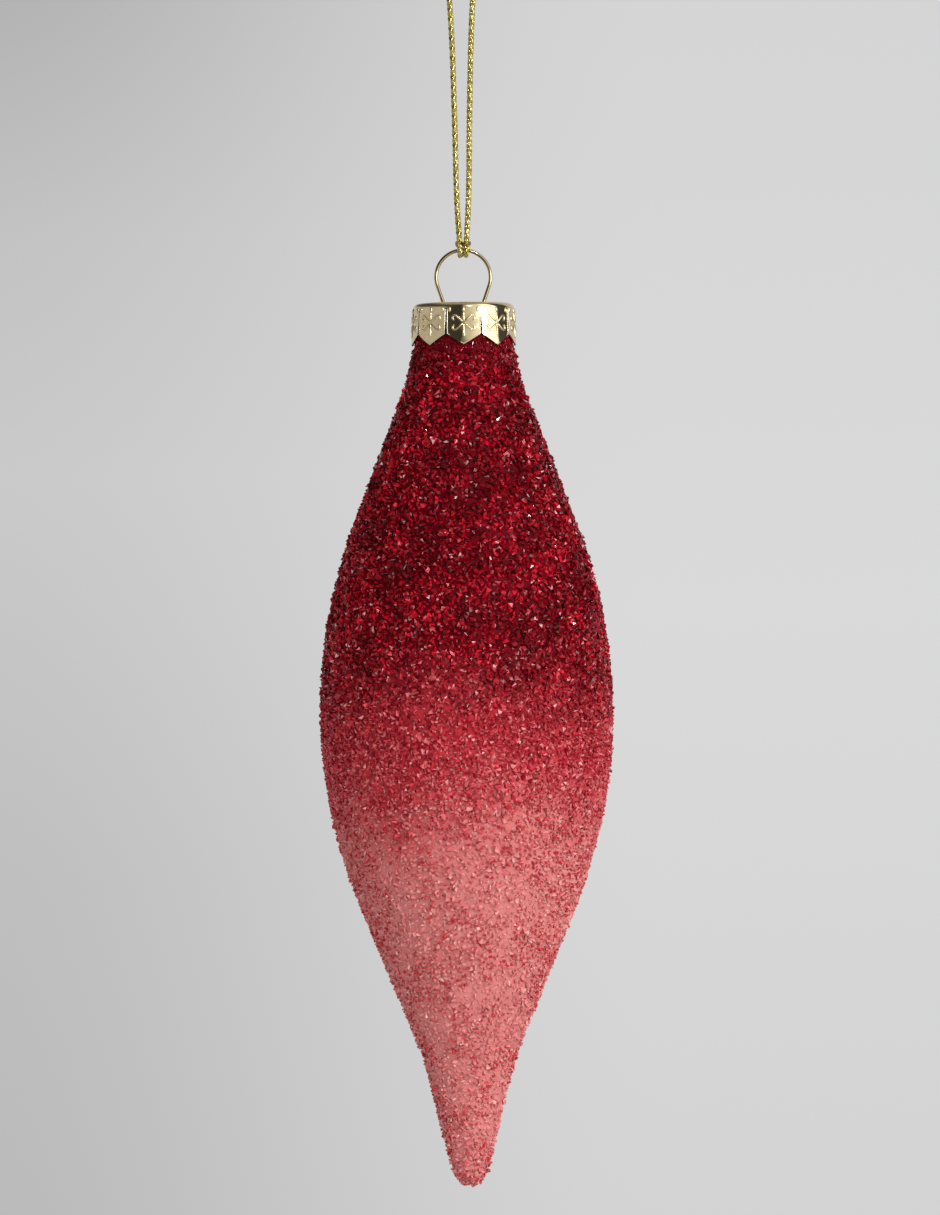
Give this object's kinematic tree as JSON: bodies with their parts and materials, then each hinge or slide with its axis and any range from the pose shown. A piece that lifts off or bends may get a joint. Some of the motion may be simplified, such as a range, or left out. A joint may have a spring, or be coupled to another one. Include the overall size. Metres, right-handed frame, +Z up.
{
  "type": "teardrop ornament",
  "caption": "Hanging teardrop ornament: blown glass drop with a crushed glass coat fading from dark red to pink, petalled gold crown, wire ring and braided cord loop.",
  "frame": {"origin": "point under the knot of the cord loop where a hook carries the ornament", "axes": "+Z up along the drop's axis, tip at -Z; -Y towards the viewer, so the wire ring lies in the XZ plane"},
  "size_m": [0.053, 0.0528, 0.2381],
  "materials": {
    "blown_glass": "gloss",
    "crushed_glass": "gloss",
    "crown_metal": "polished",
    "hanger_metal": "polished",
    "metallic_cord": "satin"
  },
  "bodies": {
    "root": {"glass_body": "blown_glass", "crushed_glass_coat": "crushed_glass", "crown_cap": "crown_metal", "hanger_wire": "hanger_metal", "hanging_cord": "metallic_cord", "cord_knot": "metallic_cord"}
  },
  "joints": []
}
